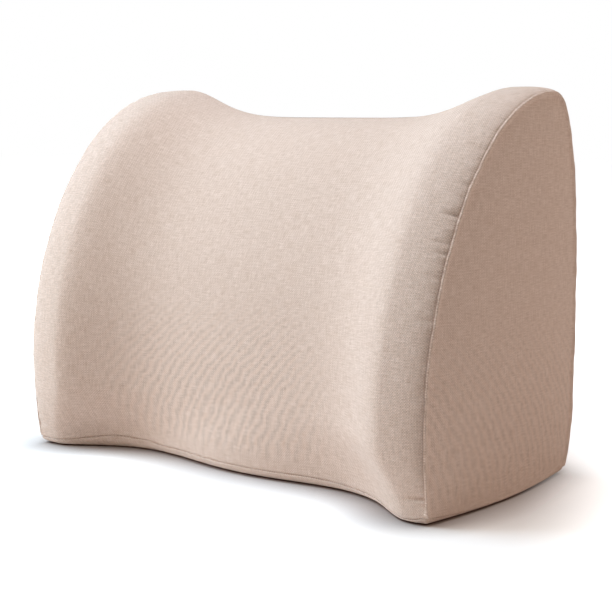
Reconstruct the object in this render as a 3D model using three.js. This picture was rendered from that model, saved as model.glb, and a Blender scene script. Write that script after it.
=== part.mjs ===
// A lumbar support pillow with two wings, standing upright on its flat base.
// Millimetres, +Z up, the hollow front faces -Y, and the origin is under the middle of its box.
// Four pieces of cloth make the cover: one that wraps front, top and back over the filling,
// two ends and a base. The filling is one solid with the wrap, and the others lie on it.
import * as THREE from "three";

// Driving dimensions
const seamWidth = 392; // across the pillow, from end seam to end seam, at the foot
const topWidening = 6; // the end seams stand this much further apart at the top
const seamHeight = 290; // the end seam's highest point
const bellyDepth = 201; // the end seam's furthest reach in front of the back
const footDepth = 196; // and its reach at the foot, which is tucked in
const baseSeamHeight = 5.7; // the seam round the base, above the floor
const endBulge = 4; // how far each end swells past its seam
const backPlane = 103.6; // the back's place, which centres the pillow on the origin
const clothThickness = 2;
const seamGap = 0.3; // between two pieces

// The end seam's outline, seen from the side: depth from the back, height, and handle lengths
const frontFootHandle = { out: 3, up: 20 };
const bellyHeight = 72;
const bellyHandle = { down: 23, up: 96 };
const crownDepth = 42.5;
const crownHandle = { front: 94.5, back: 42.3 };
const backStraight = { top: 88, bottom: 27 };
const backHandle = { up: 42, down: 8 };
const backFootTuck = 3;
const backFootHandle = { out: 1.2, up: 6 };

// How the front differs from that outline across the pillow, at heights along it.
// at: share of the way from the foot to the crown, crest: how far the wing stands out of the seam's
// outline, inset: the crest's distance from the seam, halfway: where the flank is half way down,
// fall: the flank's steep width, hollow: the depth of the middle, swell: the middle's own rise.
const sections = [
  { at: 0, crest: 5, inset: 14, halfway: 48, fall: 52, hollow: 33.4, swell: 10.9 },
  { at: 0.14, crest: 8, inset: 38, halfway: 67, fall: 70, hollow: 29, swell: 0 },
  { at: 0.5, crest: 7, inset: 33, halfway: 69, fall: 76, hollow: 23, swell: 0 },
  { at: 1, crest: 4.5, inset: 24, halfway: 69, fall: 77, hollow: 18.6, swell: 0 },
];
const hollowFade = 0.45; // past the crown, the hollow runs out over this share of the front's length
const backCrestShare = 0.35; // how much of the crest's rise is left on the back

const baseEdge = { front: 9, back: 6, end: 5 }; // the base's round edge
const endHub = { depth: 94.5, height: 121.8 }; // where each end swells most

// Mesh steps. The outline's are one number for each of its curves, from the front foot on.
const stepsAcross = 36;
const stepsAlong = [6, 19, 16, 1, 3];
const stepsUnder = 14;
const ringsInEnd = 4;

const fabric = { color: 0xd3bcad, roughness: 0.95, metalness: 0 };

const halfSeam = seamWidth / 2 - (clothThickness + seamGap) / 2;

const clamp = (x) => Math.min(1, Math.max(0, x));
const smooth = (x) => clamp(x) ** 2 * (3 - 2 * clamp(x));
const smoother = (x) => clamp(x) ** 3 * (clamp(x) * (6 * clamp(x) - 15) + 10);

// From -1 to 1 in even steps, with the steps crowded towards both ends
function crowded(step, steps, power) {
  const a = (2 * step) / steps - 1;
  return Math.sign(a) * (1 - (1 - Math.abs(a)) ** power);
}

function bezier(...points) {
  return new THREE.CubicBezierCurve(...points.map((p) => new THREE.Vector2(...p)));
}

// The end seam's outline as [depth along Y, height], from the front foot over the top to the back foot
function seamOutline() {
  const front = -bellyDepth;
  const outline = new THREE.CurvePath();
  outline.add(
    bezier(
      [-footDepth, baseSeamHeight],
      [-footDepth - frontFootHandle.out, baseSeamHeight + frontFootHandle.up],
      [front, bellyHeight - bellyHandle.down],
      [front, bellyHeight],
    ),
  );
  outline.add(
    bezier(
      [front, bellyHeight],
      [front, bellyHeight + bellyHandle.up],
      [-crownDepth - crownHandle.front, seamHeight],
      [-crownDepth, seamHeight],
    ),
  );
  outline.add(
    bezier(
      [-crownDepth, seamHeight],
      [-crownDepth + crownHandle.back, seamHeight],
      [0, backStraight.top + backHandle.up],
      [0, backStraight.top],
    ),
  );
  outline.add(
    new THREE.LineCurve(
      new THREE.Vector2(0, backStraight.top),
      new THREE.Vector2(0, backStraight.bottom),
    ),
  );
  outline.add(
    bezier(
      [0, backStraight.bottom],
      [0, backStraight.bottom - backHandle.down],
      [-backFootTuck + backFootHandle.out, baseSeamHeight + backFootHandle.up],
      [-backFootTuck, baseSeamHeight],
    ),
  );
  return outline;
}

// Each row of the wrap: a point of the outline, its outward normal, and how far along it lies,
// where 0 is the front foot and 1 the crown
function outlineRows() {
  const rows = [];
  let length = 0;
  seamOutline().curves.forEach((curve, i) => {
    for (let step = i > 0 ? 1 : 0; step <= stepsAlong[i]; step++) {
      const point = curve.getPoint(step / stepsAlong[i]);
      const along = curve.getTangent(step / stepsAlong[i]);
      const before = rows.at(-1) ?? { y: point.x, z: point.y };
      length += Math.hypot(point.x - before.y, point.y - before.z);
      rows.push({ y: point.x, z: point.y, outY: -along.y, outZ: along.x, length });
    }
  });
  const toCrown = rows[stepsAlong[0] + stepsAlong[1]].length;
  return rows.map((row) => ({ ...row, at: row.length / toCrown }));
}

// One named value of the sections, blended smoothly between them
function sectionValue(name, at) {
  let value = sections[0][name];
  for (let i = 1; i < sections.length; i++) {
    const [low, high] = [sections[i - 1], sections[i]];
    value += (high[name] - low[name]) * smooth((at - low.at) / (high.at - low.at));
  }
  return value;
}

// How far the wrap stands out of the seam's outline, at a distance in from the end seam
function standOut(inFromSeam, at) {
  const value = (name) => sectionValue(name, at);
  const front = 1 - smoother((at - 1) / hollowFade);
  const shoulder = Math.sqrt(1 - (1 - clamp(inFromSeam / value("inset"))) ** 2);
  const crest = value("crest") * shoulder * (backCrestShare + (1 - backCrestShare) * front);
  const start = value("halfway") - value("fall") / 2;
  const end = value("halfway") + value("fall") / 2;
  const bend = Math.log(0.5) / Math.log(1 - value("fall") / 2 / (halfSeam - start));
  const down = smooth(1 - (1 - clamp((inFromSeam - start) / (halfSeam - start))) ** bend);
  const rise = Math.sin((clamp((inFromSeam - end) / (halfSeam - end)) * Math.PI) / 2) ** 2;
  return crest + front * (value("swell") * rise - (value("hollow") + value("crest")) * down);
}

const lean = (z) => 1 + ((topWidening / seamWidth) * z) / seamHeight;

// The wrap's points, one row of them for each step across
function wrapPoints(rows) {
  return Array.from({ length: stepsAcross + 1 }, (_, column) => {
    const across = crowded(column, stepsAcross, 1.6) * halfSeam;
    return rows.map((row) => {
      const out = standOut(halfSeam - Math.abs(across), row.at);
      return [across * lean(row.z), backPlane + row.y + row.outY * out, row.z + row.outZ * out];
    });
  });
}

// The underside between the front foot and the back foot, raised by a height.
// It is flat but for its round edge, which climbs to the base seam.
function underPoints(wrap, raise) {
  const edge = (distance, reach) => 1 - Math.sqrt(1 - (1 - clamp(distance / reach)) ** 2);
  const rim = clothThickness + seamGap;
  return wrap.map((column) => {
    const [x, frontY, frontZ] = column[0];
    const [, backY, backZ] = column[column.length - 1];
    return Array.from({ length: stepsUnder + 1 }, (_, row) => {
      const share = (crowded(row, stepsUnder, 2) + 1) / 2;
      const y = frontY + (backY - frontY) * share;
      const climb = Math.max(
        (frontZ - rim) * edge(y - frontY, baseEdge.front),
        (backZ - rim) * edge(backY - y, baseEdge.back),
        (backZ - rim) * edge(halfSeam - Math.abs(x), baseEdge.end),
      );
      return [x, y, climb + raise];
    });
  });
}

// Collects points and triangles of one closed mesh. A facing of -1 turns the same faces over.
function meshBuilder() {
  const places = [];
  const faces = [];
  const add = (point) => places.push(point) - 1;
  const face = (a, b, c, facing) => faces.push(a, ...(facing > 0 ? [b, c] : [c, b]));
  const strip = (first, second, facing = 1) => {
    for (let i = 0; i + 1 < first.length; i++) {
      face(first[i], second[i], second[i + 1], facing);
      face(first[i], second[i + 1], first[i + 1], facing);
    }
  };
  const sheet = (lines, facing = 1) => {
    for (let i = 0; i + 1 < lines.length; i++) strip(lines[i], lines[i + 1], facing);
  };
  const fan = (loop, hub, facing) => {
    for (let i = 0; i + 1 < loop.length; i++) face(loop[i], hub, loop[i + 1], facing);
  };
  const named = (name) => {
    const geometry = new THREE.BufferGeometry();
    geometry.setAttribute("position", new THREE.Float32BufferAttribute(places.flat(), 3));
    geometry.setIndex(faces);
    geometry.computeVertexNormals();
    const mesh = new THREE.Mesh(geometry, new THREE.MeshStandardMaterial(fabric));
    mesh.name = name;
    return mesh;
  };
  return { add, strip, sheet, fan, named };
}

// Rings of an end from its closed edge loop in to one hub point, standing on the end's swell and
// moved outwards by a distance. facing is 1 or -1, the way along X that the faces look.
function endRings(builder, loop, edge, side, outwards, facing) {
  const hubY = backPlane - endHub.depth;
  const place = ([, y, z], share) => {
    const inY = hubY + (y - hubY) * share;
    const inZ = endHub.height + (z - endHub.height) * share;
    const swell = endBulge * (1 - share ** 3);
    return [side * (halfSeam * lean(inZ) + swell + outwards), inY, inZ];
  };
  let outer = loop;
  for (let ring = ringsInEnd; ring > 0; ring--) {
    const share = ring / (ringsInEnd + 1);
    const points = edge.slice(0, -1).map((point) => builder.add(place(point, share)));
    const inner = [...points, points[0]];
    builder.strip(outer, inner, facing);
    outer = inner;
  }
  builder.fan(outer, builder.add(place(edge[0], 0)), facing);
}

// The closed edge of one end: over the top along the wrap, then forwards along the underside
function endEdge(wrap, under, side) {
  const column = side > 0 ? wrap.length - 1 : 0;
  return [...wrap[column], ...under[column].slice(0, -1).reverse()];
}

function filledBody(wrap) {
  const builder = meshBuilder();
  const under = underPoints(wrap, clothThickness + seamGap);
  const wrapIds = wrap.map((column) => column.map(builder.add));
  const underIds = under.map((column, i) => {
    const inner = column.slice(1, -1).map(builder.add);
    return [wrapIds[i][0], ...inner, wrapIds[i].at(-1)];
  });
  builder.sheet(wrapIds);
  builder.sheet(underIds, -1);
  for (const side of [-1, 1]) {
    const column = side > 0 ? stepsAcross : 0;
    const loop = [...wrapIds[column], ...underIds[column].slice(0, -1).reverse()];
    endRings(builder, loop, endEdge(wrap, under, side), side, 0, side);
  }
  return builder.named("filled_body");
}

function endPanel(wrap, side) {
  const builder = meshBuilder();
  const foot = underPoints(wrap, clothThickness + seamGap);
  const edge = endEdge(wrap, foot, side);
  const loops = [seamGap, seamGap + clothThickness].map((outwards) => {
    const ids = edge.slice(0, -1).map(([x, y, z]) => builder.add([x + side * outwards, y, z]));
    return [...ids, ids[0]];
  });
  builder.strip(loops[0], loops[1], side);
  endRings(builder, loops[1], edge, side, seamGap + clothThickness, side);
  endRings(builder, loops[0], edge, side, seamGap, -side);
  return builder.named(side > 0 ? "end_panel_right" : "end_panel_left");
}

// The base has one more column at each side, which reaches under the ends, out to their faces
function basePanel(wrap) {
  const builder = meshBuilder();
  const beside = (column, reach) => column.map(([x, y, z]) => [x + reach, y, z]);
  const reach = seamGap + clothThickness;
  const wide = [beside(wrap[0], -reach), ...wrap, beside(wrap[stepsAcross], reach)];
  const [lower, upper] = [0, clothThickness].map((raise) =>
    underPoints(wide, raise).map((column) => column.map(builder.add)),
  );
  const last = wide.length - 1;
  const row = (columns, index) => columns.map((column) => column[index]);
  builder.sheet(lower, -1);
  builder.sheet(upper);
  builder.strip(row(upper, 0), row(lower, 0));
  builder.strip(row(lower, stepsUnder), row(upper, stepsUnder));
  builder.strip(lower[0], upper[0]);
  builder.strip(upper[last], lower[last]);
  return builder.named("base_panel");
}

const wrap = wrapPoints(outlineRows());
const pillow = new THREE.Group();
pillow.add(filledBody(wrap), endPanel(wrap, 1), endPanel(wrap, -1), basePanel(wrap));

export default pillow;
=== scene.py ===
"""Lumbar support pillow: a cover sewn from four pieces of woven cloth, tight over moulded foam.

It stands on its base on a white studio floor. Lengths are in millimetres until a point is placed.
"""

import math
from functools import lru_cache

import bmesh
import bpy
import numpy as np
from mathutils import Matrix, Vector
from mathutils.bvhtree import BVHTree
from mathutils.geometry import barycentric_transform

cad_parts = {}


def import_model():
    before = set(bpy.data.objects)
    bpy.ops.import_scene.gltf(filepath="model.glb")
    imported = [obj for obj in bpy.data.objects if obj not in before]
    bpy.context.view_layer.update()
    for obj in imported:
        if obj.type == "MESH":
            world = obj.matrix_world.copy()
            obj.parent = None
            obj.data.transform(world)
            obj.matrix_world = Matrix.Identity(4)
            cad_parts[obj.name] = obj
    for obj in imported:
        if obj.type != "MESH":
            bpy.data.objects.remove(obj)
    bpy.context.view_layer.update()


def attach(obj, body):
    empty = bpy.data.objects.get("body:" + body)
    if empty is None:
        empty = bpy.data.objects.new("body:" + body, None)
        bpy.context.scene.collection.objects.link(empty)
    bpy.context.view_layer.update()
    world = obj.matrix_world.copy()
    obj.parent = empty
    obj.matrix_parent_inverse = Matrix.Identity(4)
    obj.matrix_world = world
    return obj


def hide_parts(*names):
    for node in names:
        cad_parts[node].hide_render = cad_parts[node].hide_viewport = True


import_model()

MM = 0.001

# Driving sizes of the pillow. The solids have them too, but for the narrower, tucked-in back.
SEAM_WIDTH = 392.0  # from end seam to end seam, at the foot
TOP_WIDENING = 6.0
BACK_NARROWING = 4.0
SEAM_HEIGHT = 290.0
BELLY_DEPTH = 201.0
FOOT_DEPTH = 196.0
BASE_SEAM_HEIGHT = 5.7
END_BULGE = 7.0  # how far each end stands out over the middle of its foot
BACK_PLANE = 103.6
HALF_SEAM = SEAM_WIDTH / 2

# The end seam's outline, seen from the side, as curves with two handles each: (depth, height)
FRONT_FOOT = (-FOOT_DEPTH, BASE_SEAM_HEIGHT)
BELLY = (-BELLY_DEPTH, 72.0)
CROWN = (-42.5, SEAM_HEIGHT)
BACK_TOP = (0.0, 88.0)
BACK_BOTTOM = (0.0, 60.0)
BACK_FOOT = (-9.5, BASE_SEAM_HEIGHT)
END_HUB = ((FRONT_FOOT[0] + BACK_FOOT[0]) / 2, BASE_SEAM_HEIGHT)  # the middle of an end's foot
OUTLINE_CURVES = (
    (FRONT_FOOT, (-199.0, 25.7), (-BELLY_DEPTH, 49.0), BELLY),
    (BELLY, (-BELLY_DEPTH, 168.0), (-137.0, SEAM_HEIGHT), CROWN),
    (CROWN, (-0.2, SEAM_HEIGHT), (0.0, 130.0), BACK_TOP),
    (BACK_TOP, (0.0, 78.0), (0.0, 70.0), BACK_BOTTOM),
    (BACK_BOTTOM, (0.0, 40.0), (-3.5, 14.0), BACK_FOOT),
)
CURVE_POINTS = 80
FRONT_CURVES = 2  # the curves from the front foot to the crown

# How the front differs from that outline across the pillow, at shares of the way up to the crown:
# the crest's rise and distance from the seam, where the flank is half way down, how wide it falls,
# the depth of the hollow middle, and the middle's own swell
SECTIONS = (
    {"at": 0.0, "crest": 1.0, "inset": 14.0, "halfway": 50.0, "fall": 68.0, "hollow": 35.0, "swell": 12.5},
    {"at": 0.14, "crest": 8.0, "inset": 38.0, "halfway": 67.0, "fall": 70.0, "hollow": 29.0, "swell": 0.0},
    {"at": 0.5, "crest": 7.0, "inset": 33.0, "halfway": 69.0, "fall": 76.0, "hollow": 23.0, "swell": 0.0},
    {"at": 1.0, "crest": 4.5, "inset": 24.0, "halfway": 69.0, "fall": 77.0, "hollow": 18.6, "swell": 0.0},
)
HOLLOW_FADE = 0.45
BACK_CREST_SHARE = 0.35

# How far the base seam hangs below its corners: along the front, at places across, and at each end
FRONT_SAG = (
    (-196.0, 0.0),
    (-174.0, 0.0),
    (-134.0, -1.8),
    (-106.0, 0.6),
    (-84.0, 3.0),
    (-56.0, 2.0),
    (0.0, 1.5),
    (56.0, 2.4),
    (110.0, 4.6),
    (150.0, 4.0),
    (184.0, 2.4),
    (194.0, 0.0),
    (196.0, 0.0),
)
END_SAG = 3.7
SAG_HEIGHT = 25.0  # how far up the cloth follows the sag
BULGE_SHARE = 60.0  # how far in from an end the base follows its bulge
BASE_EDGE = {"front": 11.0, "back": 12.0, "end": 9.0}  # the base's round edge

# Mesh steps, and how much they crowd towards the seams. The wrap and the base share their steps
# across.
ACROSS_STEPS = 140
WRAP_STEPS = 600
BASE_STEPS = 90
END_STEPS = 300
END_RINGS = 70
CROWDING = {"across": 2.0, "wrap": 1.5, "base": 2.0, "end": 1.6, "rings": 2.2}

# Seams: turned in, with the end's folded edge a little proud of the wrap's
SEAM_DEPTH = 1.2
WRAP_FOLD = 1.6  # how far from the seam the wrap starts to dip
LIP_DEPTH = {"end": 0.3, "base": 1.1}  # how far below its panel an edge starts
LIP_RISE = {"end": 1.2, "base": 0.4}
LIP_OUT = 1.0  # how far the end's edge stands out over the wrap's
LIP_FOLD = 0.5  # from the seam to the lip's top
LIP_END = 3.6  # and to where it has levelled off
# Each end seam wanders sideways in waves: how far, wavelength along it and phase
SEAM_WANDER = ((0.22, 61.0, 0.4), (0.14, 27.0, 2.0), (0.08, 13.0, 1.1))
WANDER_REACH = 14.0
# The wrap gathers into the end seams in waves too, and on the right in a few deeper puckers: length
# along the seam, depth, half width and reach from the seam
GATHERS = ((0.22, 17.0, 0.9), (0.2, 9.7, 2.6), (0.14, 7.1, 0.3))
GATHER_REACH = 16.0
PUCKERS = (
    (14.0, 3.0, 1.6, 24.0),
    (62.0, 0.8, 2.5, 18.0),
    (134.0, 1.0, 2.2, 18.0),
    (163.0, 1.1, 2.2, 18.0),
    (180.0, 1.6, 1.8, 20.0),
    (187.5, 1.6, 1.7, 22.0),
    (208.0, 3.0, 2.0, 18.0),
    (231.0, 1.1, 2.2, 18.0),
    (262.0, 1.1, 2.4, 18.0),
)
TURN_IN = {"wrap": 4.0, "panel": 3.0}  # how far an edge goes on behind its seam
END_INSIDE = 60.0  # an end's edges turn in towards this height over the middle of its foot
TUCK_HEIGHT = 20.0  # how far above the foot they turn fully so
CLOTH = 1.0  # thickness of the cloth in the end and base pieces

CUT_GAP = 12.0  # between the wrap's cut and the others' where they lie side by side on the cloth
WRAP_TO_END = (HALF_SEAM, HALF_SEAM + CUT_GAP)

# Swelling of the cover over the foam
COARSE_STEPS = (60, 100)
VOXEL = 5.0
PRESSURE = 4.0
SWELL_FRAMES = 20
SWELL = {"wrap": 1.2, "end": 1.4}  # the most that each swells
HELD_REACH = 5.0  # the seams hold the cloth this far out


def smooth(x):
    x = min(1.0, max(0.0, x))
    return x * x * (3 - 2 * x)


def smoother(x):
    x = min(1.0, max(0.0, x))
    return x**3 * (x * (6 * x - 15) + 10)


def crowded(share, power):
    """Moves a share from 0 to 1 towards its nearer end, so that even steps crowd at both ends."""
    from_middle = 2 * share - 1
    return (1 + math.copysign(1 - (1 - abs(from_middle)) ** power, from_middle)) / 2


def quarter_round(share):
    """Height from 0 to 1 of a quarter circle that starts upright."""
    return math.sqrt(1 - (1 - min(1.0, max(0.0, share))) ** 2)


def cubic(curve, t):
    """Point and direction of a cubic curve."""
    a, b, c, d = (np.array(p) for p in curve)
    s = 1 - t
    point = s**3 * a + 3 * s * s * t * b + 3 * s * t * t * c + t**3 * d
    way = s * s * (b - a) + 2 * s * t * (c - b) + t * t * (d - c)
    return point, way / np.linalg.norm(way)


def outline_table():
    """The whole outline as rows of depth, height, outward normal and length along it."""
    samples = []
    for i, curve in enumerate(OUTLINE_CURVES):
        for step in range(1 if i else 0, CURVE_POINTS + 1):
            point, way = cubic(curve, step / CURVE_POINTS)
            samples.append((*point, -way[1], way[0]))
    table = np.array(samples)
    steps = np.hypot(*np.diff(table[:, :2], axis=0).T)
    return np.column_stack([table, np.concatenate([[0], np.cumsum(steps)])])


OUTLINE = outline_table()
OUTLINE_LENGTH = OUTLINE[-1, 4]
CROWN_LENGTH = OUTLINE[CURVE_POINTS * FRONT_CURVES, 4]
# The outline as rays from the hub, from the back foot's over the crown to the front foot's
RAYS = (OUTLINE[:, :2] - END_HUB)[::-1]
RAY_LENGTHS = np.hypot(*RAYS.T)
RAY_ANGLES = np.arctan2(RAYS[:, 1], RAYS[:, 0])


@lru_cache(maxsize=None)
def outline_at(length):
    """Depth, height and outward normal at a length along the outline."""
    y, z, out_y, out_z = (np.interp(length, OUTLINE[:, 4], OUTLINE[:, i]) for i in range(4))
    size = math.hypot(out_y, out_z)
    return y, z, out_y / size, out_z / size


def outline_distance(y, z):
    """How far a point of the end's plane is from the outline."""
    starts = OUTLINE[:-1, :2]
    ways = OUTLINE[1:, :2] - starts
    offset = np.array((y, z)) - starts
    share = np.clip((offset * ways).sum(1) / (ways * ways).sum(1), 0, 1)
    return float(np.hypot(*(offset - ways * share[:, None]).T).min())


@lru_cache(maxsize=None)
def section_values(at):
    """Every value of the sections at a share of the way up, blended smoothly."""
    values = dict(SECTIONS[0])
    for low, high in zip(SECTIONS, SECTIONS[1:]):
        share = smooth((at - low["at"]) / (high["at"] - low["at"]))
        for name in values:
            values[name] += (high[name] - low[name]) * share
    return values


def stand_out(from_seam, at, section):
    """How far the wrap stands out of the end seam's outline, at a distance in from that seam."""
    front = 1 - smoother((at - 1) / HOLLOW_FADE)
    crest = section["crest"] * quarter_round(from_seam / section["inset"])
    crest *= BACK_CREST_SHARE + (1 - BACK_CREST_SHARE) * front
    start = section["halfway"] - section["fall"] / 2
    end = section["halfway"] + section["fall"] / 2
    bend = math.log(0.5) / math.log(1 - section["fall"] / 2 / (HALF_SEAM - start))
    inwards = min(1.0, max(0.0, (from_seam - start) / (HALF_SEAM - start)))
    down = smooth(1 - (1 - inwards) ** bend)
    rise = math.sin(min(1.0, max(0.0, (from_seam - end) / (HALF_SEAM - end))) * math.pi / 2) ** 2
    return crest + front * (section["swell"] * rise - (section["hollow"] + section["crest"]) * down)


def spread(y, z):
    """How much wider the pillow is at a depth and height than at its front foot."""
    back = 1 + y / FOOT_DEPTH
    return 1 + (TOP_WIDENING * z / SEAM_HEIGHT - BACK_NARROWING * back) / SEAM_WIDTH


def follow_sag(z):
    """How much of the base seam's sag the cloth above it has at a height."""
    return 1 - smooth((z - BASE_SEAM_HEIGHT) / SAG_HEIGHT)


@lru_cache(maxsize=None)
def front_sag(across):
    """How far the base seam hangs below its corners at a place across the front."""
    for (start, low), (end, high) in zip(FRONT_SAG, FRONT_SAG[1:]):
        if across <= end:
            return low + (high - low) * smooth((across - start) / (end - start))
    return 0.0


def wrap_point(across, length):
    """A point of the wrap: across from the middle at the foot's width, length along from the foot."""
    y, z, out_y, out_z = outline_at(length)
    at = length / CROWN_LENGTH
    from_seam = HALF_SEAM - abs(across)
    out = stand_out(from_seam, at, section_values(at))
    sag = front_sag(across) * follow_sag(z) if out_y < 0 else 0.0
    return Vector((across * spread(y, z), BACK_PLANE + y + out_y * out, z + out_z * out - sag))


def end_bulge(y, z):
    """How far an end stands out, as a share of its bulge: 1 at the hub and 0 at the outline."""
    reach = math.hypot(y - END_HUB[0], z - END_HUB[1])
    if reach < 0.01:
        return 1.0
    angle = math.atan2(max(0.0, z - END_HUB[1]), y - END_HUB[0])
    return 1 - (reach / float(np.interp(angle, RAY_ANGLES, RAY_LENGTHS))) ** 2


def wrap_dip(distance):
    """How deep the wrap's folded edge lies at a distance from its seam."""
    return SEAM_DEPTH * (1 - quarter_round(distance / WRAP_FOLD))


def panel_dip(distance, seam):
    """How deep a panel's folded edge lies at a distance from its seam; its lip is above 0."""
    depth, rise = LIP_DEPTH[seam], LIP_RISE[seam]
    if distance < LIP_FOLD:
        return depth - (depth + rise) * quarter_round(distance / LIP_FOLD)
    return -rise * (1 - smooth((distance - LIP_FOLD) / (LIP_END - LIP_FOLD)))


def waves(rows, length):
    """The sum of waves along a seam, each from its height, wavelength and phase."""
    return sum(high * math.sin(length / long * math.tau + phase) for high, long, phase in rows)


def seam_wander(side, length, distance):
    """How far the seam's wandering carries a point sideways, at a distance from the seam."""
    fade = 1 - smooth(distance / WANDER_REACH)
    foot = smooth(min(length, OUTLINE_LENGTH - length) / WANDER_REACH)
    return waves(SEAM_WANDER, length * side) * fade * foot


def gathered(side, length, distance):
    """How deep the wrap is drawn in where it gathers into an end seam."""
    deep = waves(GATHERS, length * side) * (1 - smooth(distance / GATHER_REACH))
    for at, depth, half_width, reach in PUCKERS if side > 0 else ():
        across = math.exp(-(((length - at) / half_width) ** 2))
        deep += depth * across * (1 - smooth(distance / reach))
    return deep * smooth(min(length, OUTLINE_LENGTH - length) / HELD_REACH)


def bent_grid(across_steps, along_steps, place, flat):
    """A grid bent into shape. place gives each grid point's place and flat its place on the cut
    cloth, both from two shares. The cut is kept as the piece's UV map, in metres."""
    bm = bmesh.new()
    bmesh.ops.create_grid(bm, x_segments=across_steps, y_segments=along_steps, size=0.5)
    cut = bm.loops.layers.uv.new("cut")
    side_across = bm.verts.layers.int.new("across")
    side_along = bm.verts.layers.int.new("along")
    for vert in bm.verts:
        a, b = vert.co.x + 0.5, vert.co.y + 0.5
        uv = Vector(flat(a, b)) * MM
        for loop in vert.link_loops:
            loop[cut].uv = uv
        vert[side_across] = (a > 0.9999) - (a < 0.0001)
        vert[side_along] = (b > 0.9999) - (b < 0.0001)
        vert.co = place(a, b)
    return bm


def open_edges(bm):
    return [edge for edge in bm.edges if edge.is_boundary]


def turn_in(bm, shift):
    """Carries a piece's open edges on behind its seams. shift gives how far, from a point and from
    -1, 0 or 1 for the grid's sides across and the same for its sides along."""
    sides = [bm.verts.layers.int[name] for name in ("across", "along")]
    extruded = bmesh.ops.extrude_edge_only(bm, edges=open_edges(bm))["geom"]
    for vert in (v for v in extruded if isinstance(v, bmesh.types.BMVert)):
        vert.co += shift(vert.co, *(vert[side] for side in sides))


def finish_piece(bm, name, material, node, outward=None):
    """Turns a bmesh in millimetres into a piece of the pillow that stands for a solid. outward is
    the way that an open panel's faces look."""
    bmesh.ops.recalc_face_normals(bm, faces=bm.faces)
    if outward and sum((f.normal * f.calc_area() for f in bm.faces), Vector()).dot(outward) < 0:
        bmesh.ops.reverse_faces(bm, faces=bm.faces)
    bmesh.ops.transform(bm, matrix=Matrix.Scale(MM, 4), verts=bm.verts)
    for face in bm.faces:
        face.smooth = True
    mesh = bpy.data.meshes.new(name)
    bm.to_mesh(mesh)
    bm.free()
    mesh.materials.append(material)
    piece = bpy.data.objects.new(name, mesh)
    bpy.context.collection.objects.link(piece)
    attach(piece, "root")
    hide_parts(node)
    return piece


def thicken(piece):
    """Gives a panel its cloth's thickness, inwards."""
    cloth = piece.modifiers.new("cloth", "SOLIDIFY")
    cloth.thickness = CLOTH * MM
    cloth.offset = -1


def wrap_flat(a, b):
    across = (2 * crowded(a, CROWDING["across"]) - 1) * HALF_SEAM
    return across, crowded(b, CROWDING["wrap"]) * OUTLINE_LENGTH


def close_wrap(bm):
    """Closes the wrap under the base and behind the ends."""
    along = bm.verts.layers.int["along"]
    foot = [e for e in open_edges(bm) if all(v[along] for v in e.verts)]
    bmesh.ops.bridge_loops(bm, edges=foot)
    bmesh.ops.holes_fill(bm, edges=open_edges(bm), sides=0)


def swollen():
    """Lets the closed wrap swell as cloth, held at its seams and foot, and gives a function from
    a point to how far it moves. Lengths here are metres, as Cloth expects them."""
    bm = bent_grid(*COARSE_STEPS, lambda a, b: wrap_point(*wrap_flat(a, b)), lambda a, b: (0, 0))
    close_wrap(bm)
    bmesh.ops.recalc_face_normals(bm, faces=bm.faces)
    bmesh.ops.transform(bm, matrix=Matrix.Scale(MM, 4), verts=bm.verts)
    mesh = bpy.data.meshes.new("cover_to_swell")
    bm.to_mesh(mesh)
    bm.free()
    core = bpy.data.objects.new("cover_to_swell", mesh)
    bpy.context.collection.objects.link(core)
    remesh = core.modifiers.new("remesh", "REMESH")
    remesh.mode = "VOXEL"
    remesh.voxel_size = VOXEL * MM
    evaluated = core.evaluated_get(bpy.context.evaluated_depsgraph_get())
    core.data = bpy.data.meshes.new_from_object(evaluated)
    core.modifiers.clear()

    rest = [v.co.copy() for v in core.data.vertices]
    held = core.vertex_groups.new(name="held")
    for index, co in enumerate(rest):
        x, y, z = co / MM
        depth = y - BACK_PLANE
        beside_end = HALF_SEAM * spread(depth, z) - abs(x) < HELD_REACH
        if z < BASE_SEAM_HEIGHT + HELD_REACH or (
            beside_end and outline_distance(depth, z) < HELD_REACH
        ):
            held.add([index], 1.0, "REPLACE")
    cloth = core.modifiers.new("cloth", "CLOTH")
    cloth.settings.vertex_group_mass = "held"
    cloth.settings.use_pressure = True
    cloth.settings.uniform_pressure_force = PRESSURE
    cloth.settings.effector_weights.gravity = 0
    cloth.collision_settings.use_collision = False
    cloth.point_cache.frame_end = SWELL_FRAMES
    for step in range(1, SWELL_FRAMES + 1):
        bpy.context.scene.frame_set(step)
    evaluated = core.evaluated_get(bpy.context.evaluated_depsgraph_get())
    moved = [v.co.copy() for v in evaluated.data.vertices]
    core.data.calc_loop_triangles()
    corners = [tuple(t.vertices) for t in core.data.loop_triangles]
    tree = BVHTree.FromPolygons(rest, corners)
    bpy.data.objects.remove(core)
    bpy.context.scene.frame_set(1)
    moves = [(m - r).length for m, r in zip(moved, rest)]
    on_end = [abs(co.x) > (HALF_SEAM - HELD_REACH) * MM for co in rest]
    most = {
        "end": max(move for move, end in zip(moves, on_end) if end),
        "wrap": max(move for move, end in zip(moves, on_end) if not end),
    }

    def swell(point, part):
        near, _, index, _ = tree.find_nearest(point * MM)
        ids = corners[index]
        there = barycentric_transform(near, *(rest[i] for i in ids), *(moved[i] for i in ids))
        return (there - near) * SWELL[part] / most[part]

    return swell


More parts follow.
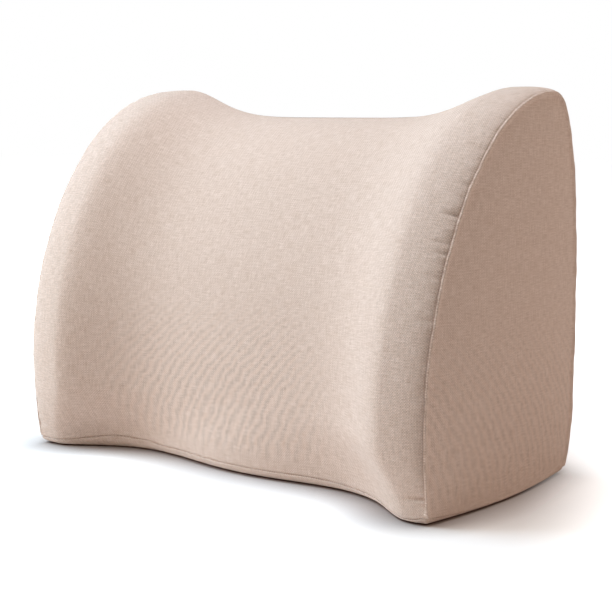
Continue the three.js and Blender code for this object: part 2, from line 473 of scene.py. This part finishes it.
def make_wrap(material, swell):
    def place(a, b):
        across, length = wrap_flat(a, b)
        point = wrap_point(across, length)
        seam = wrap_point(math.copysign(HALF_SEAM, across), length)
        from_end = (point - seam).length
        from_foot = min(length, OUTLINE_LENGTH - length)
        side = math.copysign(1, across)
        _, _, out_y, out_z = outline_at(length)
        point += swell(point, "wrap")
        drawn_in = gathered(side, length, from_end) + wrap_dip(from_end)
        point -= Vector((0, out_y, out_z)) * drawn_in
        point.x += seam_wander(side, length, from_end)
        point.y -= math.copysign(wrap_dip(from_foot), out_y)
        return point

    bm = bent_grid(ACROSS_STEPS, WRAP_STEPS, place, wrap_flat)
    turn_in(bm, lambda co, across, along: Vector((-across, -along, 0)) * TURN_IN["wrap"])
    close_wrap(bm)
    return finish_piece(bm, "wrap", material, "filled_body")


def make_end(material, swell, side):
    """An end, as a fan of rays from the middle of its foot."""
    name = "right" if side > 0 else "left"

    def along_seam(a):
        return crowded(a, CROWDING["end"]) * OUTLINE_LENGTH

    def seen(a, b):
        share = 1 - crowded(b, CROWDING["rings"])
        y, z, *_ = outline_at(along_seam(a))
        return END_HUB[0] + (y - END_HUB[0]) * share, END_HUB[1] + (z - END_HUB[1]) * share

    def place(a, b):
        y, z = seen(a, b)
        point = Vector((side * HALF_SEAM * spread(y, z), BACK_PLANE + y, z))
        point += swell(point, "end")
        bulge = end_bulge(y, z)
        inwards = outline_distance(y, z)
        dip = panel_dip(inwards, "end") + panel_dip(z - BASE_SEAM_HEIGHT, "base")
        point.x += side * (END_BULGE * bulge - dip)
        point.x += seam_wander(side, along_seam(a), inwards)
        _, _, out_y, out_z = outline_at(along_seam(a))
        out = LIP_OUT * (1 - smooth(inwards / LIP_END)) * smooth((z - BASE_SEAM_HEIGHT) / LIP_END)
        point += Vector((0, out_y, out_z)) * out
        point.z -= END_SAG * bulge * follow_sag(z)
        return point

    def flat(a, b):
        y, z = seen(a, b)
        return side * (HALF_SEAM + CUT_GAP - y), z

    def tucked(co, *_):
        """Sideways at the foot, and towards the end's inside above it."""
        way = Vector((0, BACK_PLANE + END_HUB[0], END_HUB[1] + END_INSIDE)) - co
        way *= smooth((co.z - BASE_SEAM_HEIGHT) / TUCK_HEIGHT)
        way.x = -side * END_INSIDE / 2
        return way.normalized() * TURN_IN["panel"]

    bm = bent_grid(END_STEPS, END_RINGS, place, flat)
    bmesh.ops.remove_doubles(bm, verts=bm.verts, dist=0.001)
    turn_in(bm, tucked)
    piece = finish_piece(bm, f"{name}_end", material, f"end_panel_{name}", Vector((side, 0, 0)))
    thicken(piece)
    return piece


def make_base(material):
    def seen(a, b):
        """The place across, the front and back seam there, the place between them and its depth,
        the end's bulge and height there, and the base's climbs to the front, back and end."""
        across, _ = wrap_flat(a, 0)
        front = wrap_point(across, 0)
        back = wrap_point(across, OUTLINE_LENGTH)
        y = front.y + (back.y - front.y) * crowded(b, CROWDING["base"])
        depth = min(BACK_FOOT[0], max(FRONT_FOOT[0], y - BACK_PLANE))
        bulge = end_bulge(depth, BASE_SEAM_HEIGHT)
        end_height = BASE_SEAM_HEIGHT - END_SAG * bulge
        climbs = (
            front.z * (1 - quarter_round((y - front.y) / BASE_EDGE["front"])),
            back.z * (1 - quarter_round((back.y - y) / BASE_EDGE["back"])),
            end_height * (1 - quarter_round((HALF_SEAM - abs(across)) / BASE_EDGE["end"])),
        )
        return across, front, back, y, depth, bulge, end_height, climbs

    def place(a, b):
        across, front, back, y, depth, bulge, end_height, climbs = seen(a, b)
        from_end = HALF_SEAM - abs(across)
        z = max(climbs)
        end_out = END_BULGE * bulge * (1 - smooth(from_end / BULGE_SHARE))
        x = across * spread(depth, BASE_SEAM_HEIGHT) + math.copysign(end_out, across)
        point = Vector((x, y, z))
        point.x -= math.copysign(panel_dip(math.hypot(from_end, end_height - z), "base"), across)
        point.y += panel_dip(math.hypot(y - front.y, front.z - z), "base")
        point.y -= panel_dip(math.hypot(back.y - y, back.z - z), "base")
        return point

    def flat(a, b):
        across, _, _, y, *_, climbs = seen(a, b)
        outwards = across + math.copysign(climbs[2], across)
        return outwards, y - climbs[0] + climbs[1] - BACK_PLANE - CUT_GAP

    bm = bent_grid(ACROSS_STEPS, BASE_STEPS, place, flat)
    turn_in(bm, lambda co, across, along: Vector((-across, -along, 0)) * TURN_IN["panel"])
    piece = finish_piece(bm, "base", material, "base_panel", Vector((0, 0, -1)))
    thicken(piece)
    return piece


def linear(hex_colour):
    """Linear RGBA of an sRGB hex colour."""
    channels = (int(hex_colour[i : i + 2], 16) / 255 for i in (1, 3, 5))
    return (*((c / 12.92 if c <= 0.04045 else ((c + 0.055) / 1.055) ** 2.4) for c in channels), 1.0)


def new_material(name):
    material = bpy.data.materials.new(name)
    material.use_nodes = True
    tree = material.node_tree
    shader = next(n for n in tree.nodes if n.type == "BSDF_PRINCIPLED")
    return material, tree, shader


def add(tree, kind, links=(), **settings):
    """Adds a node, sets its properties and its inputs' values, and links sockets into it.

    A setting named in_0 is the value of input 0. Links are pairs of an input and what feeds it: a
    socket, or a node for its first output."""
    node = tree.nodes.new(kind)
    for name, value in settings.items():
        if name.startswith("in_"):
            node.inputs[int(name[3:])].default_value = value
        else:
            setattr(node, name, value)
    for key, source in links:
        socket = source.outputs[0] if isinstance(source, bpy.types.Node) else source
        tree.links.new(socket, node.inputs[key])
    return node


# Weave, in millimetres on the cut cloth. Both pitches are the real ones of a coarse linen-look
# yarn, and its checks only just show from the camera, so their contrast is drawn strong.
WARP_PITCH = 0.90
WEFT_PITCH = 0.94
SLUB_LENGTH = 9.0  # how far a thick or thin stretch of yarn runs
SLUB_RANGE = (0.15, 0.85)  # noise at the thinnest, darkest yarn and at the thickest
CHECK = 0.6  # how much lighter the warp is than the weft, as a share of all the yarns' range
# Painted shade between the yarns: GAP_SHADE darkens the colour in the gaps
GAP_SHADE = 0.12  # how much darker the gaps between the yarns are
WEAVE_RELIEF = 0.16  # from the gaps to the tops of the yarns
SLUB_RELIEF = 0.4  # how much higher the thickest yarns are, as a share of that
YARN_DARK = "#c4a593"
YARN_LIGHT = "#f0dad0"
# Ripples where the weave is pulled unevenly, low on the front and fainter on the ends: turns for
# each millimetre across, for each up from the base seam and for each square of that, how dark they
# are, and where they fade out: near the base seam, higher up, and to both sides of their middle
RIPPLE = {"across": 0.118, "up": -0.0155, "bend": -0.000515, "dark": 0.15, "dark_on_ends": 0.09}
RIPPLE_WOBBLE = 14.0
RIPPLE_FOOT = (4.0, 20.0)
RIPPLE_TOP = (70.0, 160.0)
RIPPLE_SIDES = (50.0, 140.0)
RIPPLE_MIDDLE = -20.0
RIPPLE_YARNS = (0.75, 0.25)  # slub noise where they don't show, and where they show fully
# Short dark flecks along the weft show on the wings, from this far across to this, but not on the ends
FLECK_SIDES = (120.0, 175.0)
FLECK_DARK = 0.1
FLECK_LENGTH = 2.6
FLECK_YARNS = (0.55, 0.35)  # noise where they don't show, and where they show fully


def cover_material():
    """Linen-look plain weave of pale blush yarn: matt, thick and thin in both directions, and
    slightly fuzzy, so it never shines."""
    material, tree, shader = new_material("linen_look_weave")
    cut = add(tree, "ShaderNodeUVMap", uv_map="cut")

    def blotches(across_size, up_size):
        """Noise on the cut cloth, from how many millimetres its blotches measure."""
        scale = (1 / (across_size * MM), 1 / (up_size * MM), 0)
        place = add(tree, "ShaderNodeVectorMath", [(0, cut)], operation="MULTIPLY", in_1=scale)
        return add(tree, "ShaderNodeTexNoise", [(0, place)], noise_dimensions="2D", in_2=1.0)

    # Each yarn's own thick and thin stretches
    warp_slub = blotches(WARP_PITCH, SLUB_LENGTH)
    weft_slub = blotches(SLUB_LENGTH, WEFT_PITCH)

    # The plain weave: a wave across the warp and one across the weft, whose product is 1 where a
    # warp yarn is on top and -1 where a weft yarn is
    turns = add(
        tree,
        "ShaderNodeVectorMath",
        [(0, cut)],
        operation="MULTIPLY",
        in_1=(math.pi / (WARP_PITCH * MM), math.pi / (WEFT_PITCH * MM), 0),
    )
    waves = add(tree, "ShaderNodeVectorMath", [(0, turns)], operation="SINE")
    wave = add(tree, "ShaderNodeSeparateXYZ", [(0, waves)])
    over = add(tree, "ShaderNodeMath", [(0, wave.outputs[0]), (1, wave.outputs[1])], operation="MULTIPLY")
    warp_shows = add(tree, "ShaderNodeMath", [(0, over)], operation="MULTIPLY_ADD", in_1=0.5, in_2=0.5)
    rise = add(tree, "ShaderNodeMath", [(0, over)], operation="ABSOLUTE")
    slub = add(
        tree, "ShaderNodeMix", [(0, warp_shows), (2, weft_slub), (3, warp_slub)], data_type="FLOAT"
    )
    thick = add(
        tree, "ShaderNodeMapRange", [(0, slub)], in_1=SLUB_RANGE[0], in_2=SLUB_RANGE[1]
    )
    tone = add(tree, "ShaderNodeMath", [(0, over), (2, thick)], operation="MULTIPLY_ADD", in_1=CHECK / 2)

    # Where ripples and dark flecks show, from distances on the cut cloth
    axes = add(tree, "ShaderNodeSeparateXYZ", [(0, cut)])
    across, up = axes.outputs[0], axes.outputs[1]
    aside = add(tree, "ShaderNodeMath", [(0, across)], operation="ABSOLUTE")
    from_middle = add(tree, "ShaderNodeMath", [(0, across)], operation="SUBTRACT", in_1=RIPPLE_MIDDLE * MM)
    off_middle = add(tree, "ShaderNodeMath", [(0, from_middle)], operation="ABSOLUTE")
    middle, on_ends, above_foot, below_top, on_wings, off_ends = (
        add(
            tree,
            "ShaderNodeMapRange",
            [(0, distance)],
            interpolation_type="SMOOTHSTEP",
            in_1=start * MM,
            in_2=end * MM,
            in_3=low,
            in_4=high,
        )
        for distance, (start, end), low, high in (
            (off_middle, RIPPLE_SIDES, RIPPLE["dark"], 0.0),
            (aside, WRAP_TO_END, 0.0, RIPPLE["dark_on_ends"]),
            (up, RIPPLE_FOOT, 0.0, 1.0),
            (up, RIPPLE_TOP, 1.0, 0.0),
            (aside, FLECK_SIDES, 0.0, FLECK_DARK),
            (aside, WRAP_TO_END, 1.0, 0.0),
        )
    )

    straight = add(
        tree,
        "ShaderNodeVectorMath",
        [(0, cut)],
        operation="DOT_PRODUCT",
        in_1=(RIPPLE["across"] * math.tau / MM, RIPPLE["up"] * math.tau / MM, 0),
    )
    square = add(tree, "ShaderNodeMath", [(0, up), (1, up)], operation="MULTIPLY")
    turned = add(
        tree,
        "ShaderNodeMath",
        [(0, square), (2, straight.outputs["Value"])],
        operation="MULTIPLY_ADD",
        in_1=RIPPLE["bend"] * math.tau / MM**2,
    )
    uneven = blotches(RIPPLE_WOBBLE, RIPPLE_WOBBLE)
    wobbled = add(
        tree, "ShaderNodeMath", [(0, uneven), (2, turned)], operation="MULTIPLY_ADD", in_1=math.tau
    )
    ripple = add(tree, "ShaderNodeMath", [(0, wobbled)], operation="SINE")
    strong = add(tree, "ShaderNodeMath", [(0, middle), (1, on_ends)], operation="ADD")
    thin = add(
        tree, "ShaderNodeMapRange", [(0, slub)], in_1=RIPPLE_YARNS[0], in_2=RIPPLE_YARNS[1]
    )
    for factor in (strong, above_foot, below_top, thin):
        ripple = add(tree, "ShaderNodeMath", [(0, ripple), (1, factor)], operation="MULTIPLY")

    weft_ends = blotches(FLECK_LENGTH, WEFT_PITCH)
    fleck = add(
        tree, "ShaderNodeMapRange", [(0, weft_ends)], in_1=FLECK_YARNS[0], in_2=FLECK_YARNS[1]
    )
    for factor in (on_wings, off_ends):
        fleck = add(tree, "ShaderNodeMath", [(0, fleck), (1, factor)], operation="MULTIPLY")

    darker = add(tree, "ShaderNodeMath", [(0, ripple), (1, fleck)], operation="ADD")
    yarns = add(
        tree,
        "ShaderNodeMix",
        [(0, tone)],
        data_type="RGBA",
        in_6=linear(YARN_DARK),
        in_7=linear(YARN_LIGHT),
    )
    # Painted shade: the colour is darker in the gaps between the yarns, where they shade each other
    gap = add(
        tree,
        "ShaderNodeMath",
        [(0, rise)],
        operation="MULTIPLY_ADD",
        in_1=GAP_SHADE,
        in_2=1 - GAP_SHADE,
    )
    shade = add(tree, "ShaderNodeMath", [(0, gap), (1, darker)], operation="SUBTRACT")
    coloured = add(
        tree, "ShaderNodeVectorMath", [(0, yarns.outputs[2]), (3, shade)], operation="SCALE"
    )
    tree.links.new(coloured.outputs[0], shader.inputs["Base Color"])

    relief = add(
        tree, "ShaderNodeMath", [(0, thick), (2, rise)], operation="MULTIPLY_ADD", in_1=SLUB_RELIEF
    )
    bump = add(tree, "ShaderNodeBump", [(3, relief)], in_0=1.0, in_1=WEAVE_RELIEF * MM)
    tree.links.new(bump.outputs[0], shader.inputs["Normal"])
    shader.inputs["Roughness"].default_value = 0.9
    shader.inputs["Specular IOR Level"].default_value = 0.5
    shader.inputs["Sheen Weight"].default_value = 0.25
    shader.inputs["Sheen Roughness"].default_value = 0.5
    return material


# The floor, as it lights the pillow and as the camera sees it: white in the open, and dark close to the
# pillow, where less of the studio reaches it; that dark is a contact shadow painted into the colour the
# camera sees. Painted glow, light that only the camera sees, is added to its far parts, to the right of
# the pillow's shadow and to the front left.
FLOOR_LIT = (0.86, 0.79, 0.75, 1)
FLOOR_SEEN = (0.97, 0.945, 0.955, 1)
# Painted contact shadow: the floor's colour as the camera sees it goes from FLOOR_SEEN towards this
# darkest colour
FLOOR_COVERED = (0.1, 0.035, 0.02, 1)  # where the pillow covers all of its light
CONTACT_REACH = 0.034  # metres that the pillow darkens the floor round it
FAR_GLOW = {"start": 0.35, "full": 0.8, "most": 1.0}  # metres from the pillow's middle
SIDE_GLOWS = (  # the same along a way
    {"way": (0.85, 0.5, 0), "start": 0.17, "full": 0.28, "most": 0.7},
    {"way": (-0.7, -0.7, 0), "start": 0.22, "full": 0.3, "most": 0.25},
)


def studio_floor():
    bm = bmesh.new()
    bmesh.ops.create_grid(bm, x_segments=1, y_segments=1, size=6)
    mesh = bpy.data.meshes.new("studio_floor")
    bm.to_mesh(mesh)
    bm.free()
    floor = bpy.data.objects.new("studio_floor", mesh)
    bpy.context.collection.objects.link(floor)
    material = bpy.data.materials.new("white_paper_sweep")
    material.use_nodes = True
    tree = material.node_tree
    tree.nodes.clear()
    rays = add(tree, "ShaderNodeLightPath")
    seen = rays.outputs["Is Camera Ray"]
    # Painted contact shadow: ambient occlusion darkens the floor's colour near the pillow, for the camera
    # only
    open_share = add(tree, "ShaderNodeAmbientOcclusion", samples=8, in_1=CONTACT_REACH)
    painted_contact_shadow = add(
        tree,
        "ShaderNodeMix",
        [(0, open_share.outputs["AO"])],
        data_type="RGBA",
        in_6=FLOOR_COVERED,
        in_7=FLOOR_SEEN,
    )
    colour = add(
        tree,
        "ShaderNodeMix",
        [(0, seen), (7, painted_contact_shadow.outputs[2])],
        data_type="RGBA",
        clamp_result=False,
        in_6=FLOOR_LIT,
    )
    paper = add(tree, "ShaderNodeBsdfDiffuse", [(0, colour.outputs[2])])
    place = add(tree, "ShaderNodeTexCoord").outputs["Object"]
    outwards = add(tree, "ShaderNodeVectorMath", [(0, place)], operation="LENGTH")
    distances = [outwards] + [
        add(tree, "ShaderNodeVectorMath", [(0, place)], operation="DOT_PRODUCT", in_1=glow["way"])
        for glow in SIDE_GLOWS
    ]
    # Painted glow: how brightly the floor glows for the camera only, by distance out and along each way
    painted_glow, *others = [
        add(
            tree,
            "ShaderNodeMapRange",
            [(0, distance.outputs["Value"])],
            interpolation_type="SMOOTHSTEP",
            in_1=glow["start"],
            in_2=glow["full"],
            in_4=glow["most"],
        )
        for distance, glow in zip(distances, (FAR_GLOW, *SIDE_GLOWS))
    ]
    for other in others:
        painted_glow = add(tree, "ShaderNodeMath", [(0, painted_glow), (1, other)], operation="MAXIMUM")
    strength = add(tree, "ShaderNodeMath", [(0, painted_glow), (1, seen)], operation="MULTIPLY")
    light = add(tree, "ShaderNodeEmission", [("Strength", strength)])
    both = add(tree, "ShaderNodeAddShader", [(0, paper), (1, light)])
    add(tree, "ShaderNodeOutputMaterial", [(0, both)])
    mesh.materials.append(material)


# Soft boxes round the pillow: direction from the front towards the right and elevation, in
# degrees, power in watts, and colour
SOFT_BOXES = (
    (-60, 8, 17.0, "#d5f1ff"),
    (-60, 45, 12.5, "#d9f1ff"),
    (-90, 45, 3.6, "#cfeaff"),
    (-30, 8, 4.5, "#ffe4bb"),
    (-30, 45, 6.5, "#fffff8"),
    (120, 8, 5.4, "#fbe8d9"),
    (120, 45, 4.5, "#fbe4c8"),
    (180, 45, 3.0, "#f8fcff"),
    (0, 90, 13.6, "#f8fcff"),
)
BOX_SIZE = 0.9
BOX_DISTANCE = 1.6
LIT_POINT = Vector((0, 0.0036, 0.15))


def studio_lights():
    for around, up, watts, colour in SOFT_BOXES:
        a, e = math.radians(around), math.radians(up)
        way = Vector((math.sin(a) * math.cos(e), -math.cos(a) * math.cos(e), math.sin(e)))
        light = bpy.data.lights.new("soft_box", "AREA")
        light.size = BOX_SIZE
        light.energy = watts
        light.color = linear(colour)[:3]
        box = bpy.data.objects.new("soft_box", light)
        box.location = LIT_POINT + way * BOX_DISTANCE
        box.rotation_euler = way.to_track_quat("Z", "Y").to_euler()
        bpy.context.collection.objects.link(box)


def camera():
    """The photograph's view: from the right at 39 degrees, looking down a little, a long lens."""
    data = bpy.data.cameras.new("camera")
    data.sensor_width = 36
    data.lens = 84.287
    data.clip_end = 20
    eye = bpy.data.objects.new("camera", data)
    eye.location = (0.7243, -0.8637, 0.2778)
    eye.rotation_euler = (math.radians(90 - 7.8229), 0, math.radians(39.3814))
    bpy.context.collection.objects.link(eye)
    bpy.context.scene.camera = eye


def world():
    """White behind the pillow, and dark to everything but the camera."""
    background = bpy.data.worlds.new("white_studio")
    background.use_nodes = True
    tree = background.node_tree
    rays = add(tree, "ShaderNodeLightPath")
    shown = tree.nodes["Background"]
    shown.inputs["Color"].default_value = (1, 1, 1, 1)
    tree.links.new(rays.outputs["Is Camera Ray"], shown.inputs["Strength"])
    bpy.context.scene.world = background


camera()
studio_lights()
world()
studio_floor()
bpy.context.scene.view_settings.view_transform = "Standard"

cover = cover_material()
swell = swollen()
wrap = make_wrap(cover, swell)
ends = [make_end(cover, swell, side) for side in (1, -1)]
base = make_base(cover)
